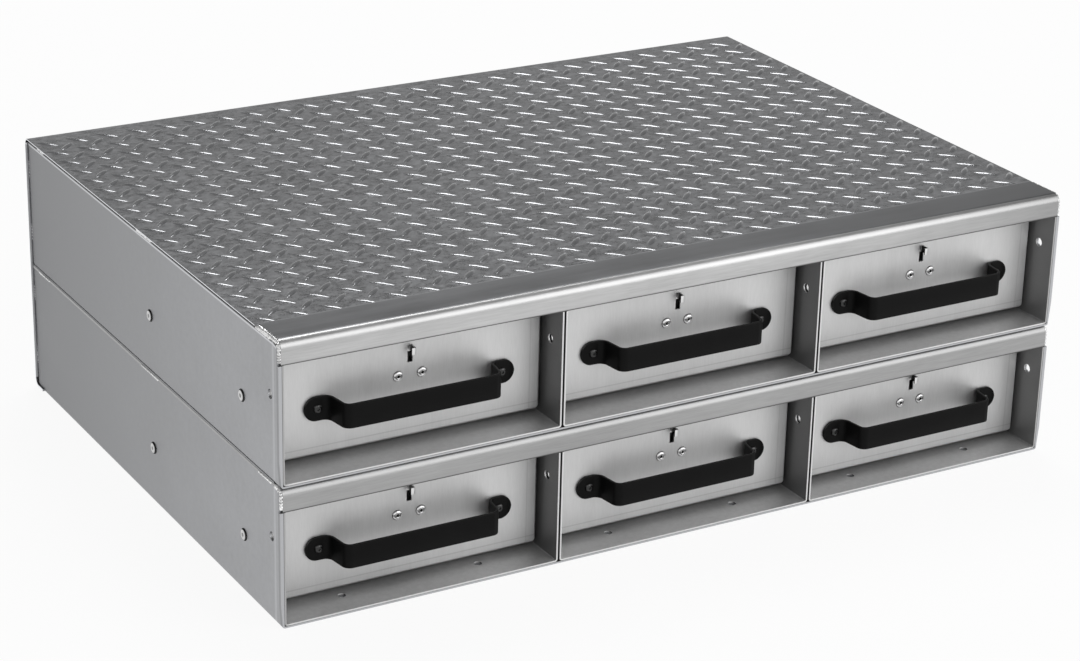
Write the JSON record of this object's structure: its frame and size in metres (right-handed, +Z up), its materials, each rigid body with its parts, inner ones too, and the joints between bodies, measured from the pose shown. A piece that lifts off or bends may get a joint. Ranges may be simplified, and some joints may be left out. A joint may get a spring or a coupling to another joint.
{
  "type": "vehicle drawer unit",
  "caption": "Low, wide aluminium drawer unit: latched drawers on telescopic slides in stacked welded cases under a folded tread plate cover.",
  "frame": {"origin": "middle of the footprint, at the height of the floor that the unit stands on", "axes": "+Z up, the drawers open towards -Y, +X to the right of someone who faces the drawers"},
  "size_m": [1.016, 0.7302, 0.3302],
  "materials": {
    "tread_plate": "satin, with raised lugs",
    "mill_sheet": "mill finish",
    "brushed_sheet": "brushed",
    "rivet_metal": "bright",
    "slide_steel": "zinc plated",
    "black_coating": "black powder coat"
  },
  "bodies": {
    "case": {"tread_plate_cover": "tread_plate", "lower_top_sheet": "mill_sheet", "lower_case_skin": "mill_sheet", "upper_case_skin": "mill_sheet", "lower_left_liner": "mill_sheet", "lower_left_latch_catch": "mill_sheet", "lower_middle_liner": "mill_sheet", "lower_middle_latch_catch": "mill_sheet", "lower_right_liner": "mill_sheet", "lower_right_latch_catch": "mill_sheet", "upper_left_liner": "mill_sheet", "upper_left_latch_catch": "mill_sheet", "upper_middle_liner": "mill_sheet", "upper_middle_latch_catch": "mill_sheet", "upper_right_liner": "mill_sheet", "upper_right_latch_catch": "mill_sheet"},
    "lower_left_drawer": {"lower_left_drawer_tray": "brushed_sheet", "lower_left_drawer_front": "brushed_sheet", "lower_left_handle": "black_coating", "lower_left_latch_guide": "rivet_metal"},
    "lower_left_slide_middle": {"lower_left_left_slide_member": "slide_steel", "lower_left_right_slide_member": "slide_steel"},
    "lower_left_latch": {"lower_left_latch_bolt": "mill_sheet"},
    "lower_middle_drawer": {"lower_middle_drawer_tray": "brushed_sheet", "lower_middle_drawer_front": "brushed_sheet", "lower_middle_handle": "black_coating", "lower_middle_latch_guide": "rivet_metal"},
    "lower_middle_slide_middle": {"lower_middle_left_slide_member": "slide_steel", "lower_middle_right_slide_member": "slide_steel"},
    "lower_middle_latch": {"lower_middle_latch_bolt": "mill_sheet"},
    "lower_right_drawer": {"lower_right_drawer_tray": "brushed_sheet", "lower_right_drawer_front": "brushed_sheet", "lower_right_handle": "black_coating", "lower_right_latch_guide": "rivet_metal"},
    "lower_right_slide_middle": {"lower_right_left_slide_member": "slide_steel", "lower_right_right_slide_member": "slide_steel"},
    "lower_right_latch": {"lower_right_latch_bolt": "mill_sheet"},
    "upper_left_drawer": {"upper_left_drawer_tray": "brushed_sheet", "upper_left_drawer_front": "brushed_sheet", "upper_left_handle": "black_coating", "upper_left_latch_guide": "rivet_metal"},
    "upper_left_slide_middle": {"upper_left_left_slide_member": "slide_steel", "upper_left_right_slide_member": "slide_steel"},
    "upper_left_latch": {"upper_left_latch_bolt": "mill_sheet"},
    "upper_middle_drawer": {"upper_middle_drawer_tray": "brushed_sheet", "upper_middle_drawer_front": "brushed_sheet", "upper_middle_handle": "black_coating", "upper_middle_latch_guide": "rivet_metal"},
    "upper_middle_slide_middle": {"upper_middle_left_slide_member": "slide_steel", "upper_middle_right_slide_member": "slide_steel"},
    "upper_middle_latch": {"upper_middle_latch_bolt": "mill_sheet"},
    "upper_right_drawer": {"upper_right_drawer_tray": "brushed_sheet", "upper_right_drawer_front": "brushed_sheet", "upper_right_handle": "black_coating", "upper_right_latch_guide": "rivet_metal"},
    "upper_right_slide_middle": {"upper_right_left_slide_member": "slide_steel", "upper_right_right_slide_member": "slide_steel"},
    "upper_right_latch": {"upper_right_latch_bolt": "mill_sheet"}
  },
  "joints": [
    {"name": "lower_left_drawer_slide", "type": "slide", "parent": "case", "child": "lower_left_drawer", "axis": [0, -1, 0], "range_m": [0, 0.6]},
    {"name": "lower_left_middle_slide", "type": "slide", "parent": "case", "child": "lower_left_slide_middle", "axis": [0, -1, 0], "range_m": [0, 0.3]},
    {"name": "lower_left_latch_slide", "type": "slide", "parent": "lower_left_drawer", "child": "lower_left_latch", "axis": [0, 0, -1], "range_m": [0, 0.011], "stiffness_N_per_m": 200, "springref_m": -0.004},
    {"name": "lower_middle_drawer_slide", "type": "slide", "parent": "case", "child": "lower_middle_drawer", "axis": [0, -1, 0], "range_m": [0, 0.6]},
    {"name": "lower_middle_middle_slide", "type": "slide", "parent": "case", "child": "lower_middle_slide_middle", "axis": [0, -1, 0], "range_m": [0, 0.3]},
    {"name": "lower_middle_latch_slide", "type": "slide", "parent": "lower_middle_drawer", "child": "lower_middle_latch", "axis": [0, 0, -1], "range_m": [0, 0.011], "stiffness_N_per_m": 200, "springref_m": -0.004},
    {"name": "lower_right_drawer_slide", "type": "slide", "parent": "case", "child": "lower_right_drawer", "axis": [0, -1, 0], "range_m": [0, 0.6]},
    {"name": "lower_right_middle_slide", "type": "slide", "parent": "case", "child": "lower_right_slide_middle", "axis": [0, -1, 0], "range_m": [0, 0.3]},
    {"name": "lower_right_latch_slide", "type": "slide", "parent": "lower_right_drawer", "child": "lower_right_latch", "axis": [0, 0, -1], "range_m": [0, 0.011], "stiffness_N_per_m": 200, "springref_m": -0.004},
    {"name": "upper_left_drawer_slide", "type": "slide", "parent": "case", "child": "upper_left_drawer", "axis": [0, -1, 0], "range_m": [0, 0.6]},
    {"name": "upper_left_middle_slide", "type": "slide", "parent": "case", "child": "upper_left_slide_middle", "axis": [0, -1, 0], "range_m": [0, 0.3]},
    {"name": "upper_left_latch_slide", "type": "slide", "parent": "upper_left_drawer", "child": "upper_left_latch", "axis": [0, 0, -1], "range_m": [0, 0.011], "stiffness_N_per_m": 200, "springref_m": -0.004},
    {"name": "upper_middle_drawer_slide", "type": "slide", "parent": "case", "child": "upper_middle_drawer", "axis": [0, -1, 0], "range_m": [0, 0.6]},
    {"name": "upper_middle_middle_slide", "type": "slide", "parent": "case", "child": "upper_middle_slide_middle", "axis": [0, -1, 0], "range_m": [0, 0.3]},
    {"name": "upper_middle_latch_slide", "type": "slide", "parent": "upper_middle_drawer", "child": "upper_middle_latch", "axis": [0, 0, -1], "range_m": [0, 0.011], "stiffness_N_per_m": 200, "springref_m": -0.004},
    {"name": "upper_right_drawer_slide", "type": "slide", "parent": "case", "child": "upper_right_drawer", "axis": [0, -1, 0], "range_m": [0, 0.6]},
    {"name": "upper_right_middle_slide", "type": "slide", "parent": "case", "child": "upper_right_slide_middle", "axis": [0, -1, 0], "range_m": [0, 0.3]},
    {"name": "upper_right_latch_slide", "type": "slide", "parent": "upper_right_drawer", "child": "upper_right_latch", "axis": [0, 0, -1], "range_m": [0, 0.011], "stiffness_N_per_m": 200, "springref_m": -0.004}
  ],
  "couplings": [
    {"joint": "lower_left_middle_slide", "follows": "lower_left_drawer_slide", "ratio": 0.5},
    {"joint": "lower_middle_middle_slide", "follows": "lower_middle_drawer_slide", "ratio": 0.5},
    {"joint": "lower_right_middle_slide", "follows": "lower_right_drawer_slide", "ratio": 0.5},
    {"joint": "upper_left_middle_slide", "follows": "upper_left_drawer_slide", "ratio": 0.5},
    {"joint": "upper_middle_middle_slide", "follows": "upper_middle_drawer_slide", "ratio": 0.5},
    {"joint": "upper_right_middle_slide", "follows": "upper_right_drawer_slide", "ratio": 0.5}
  ]
}
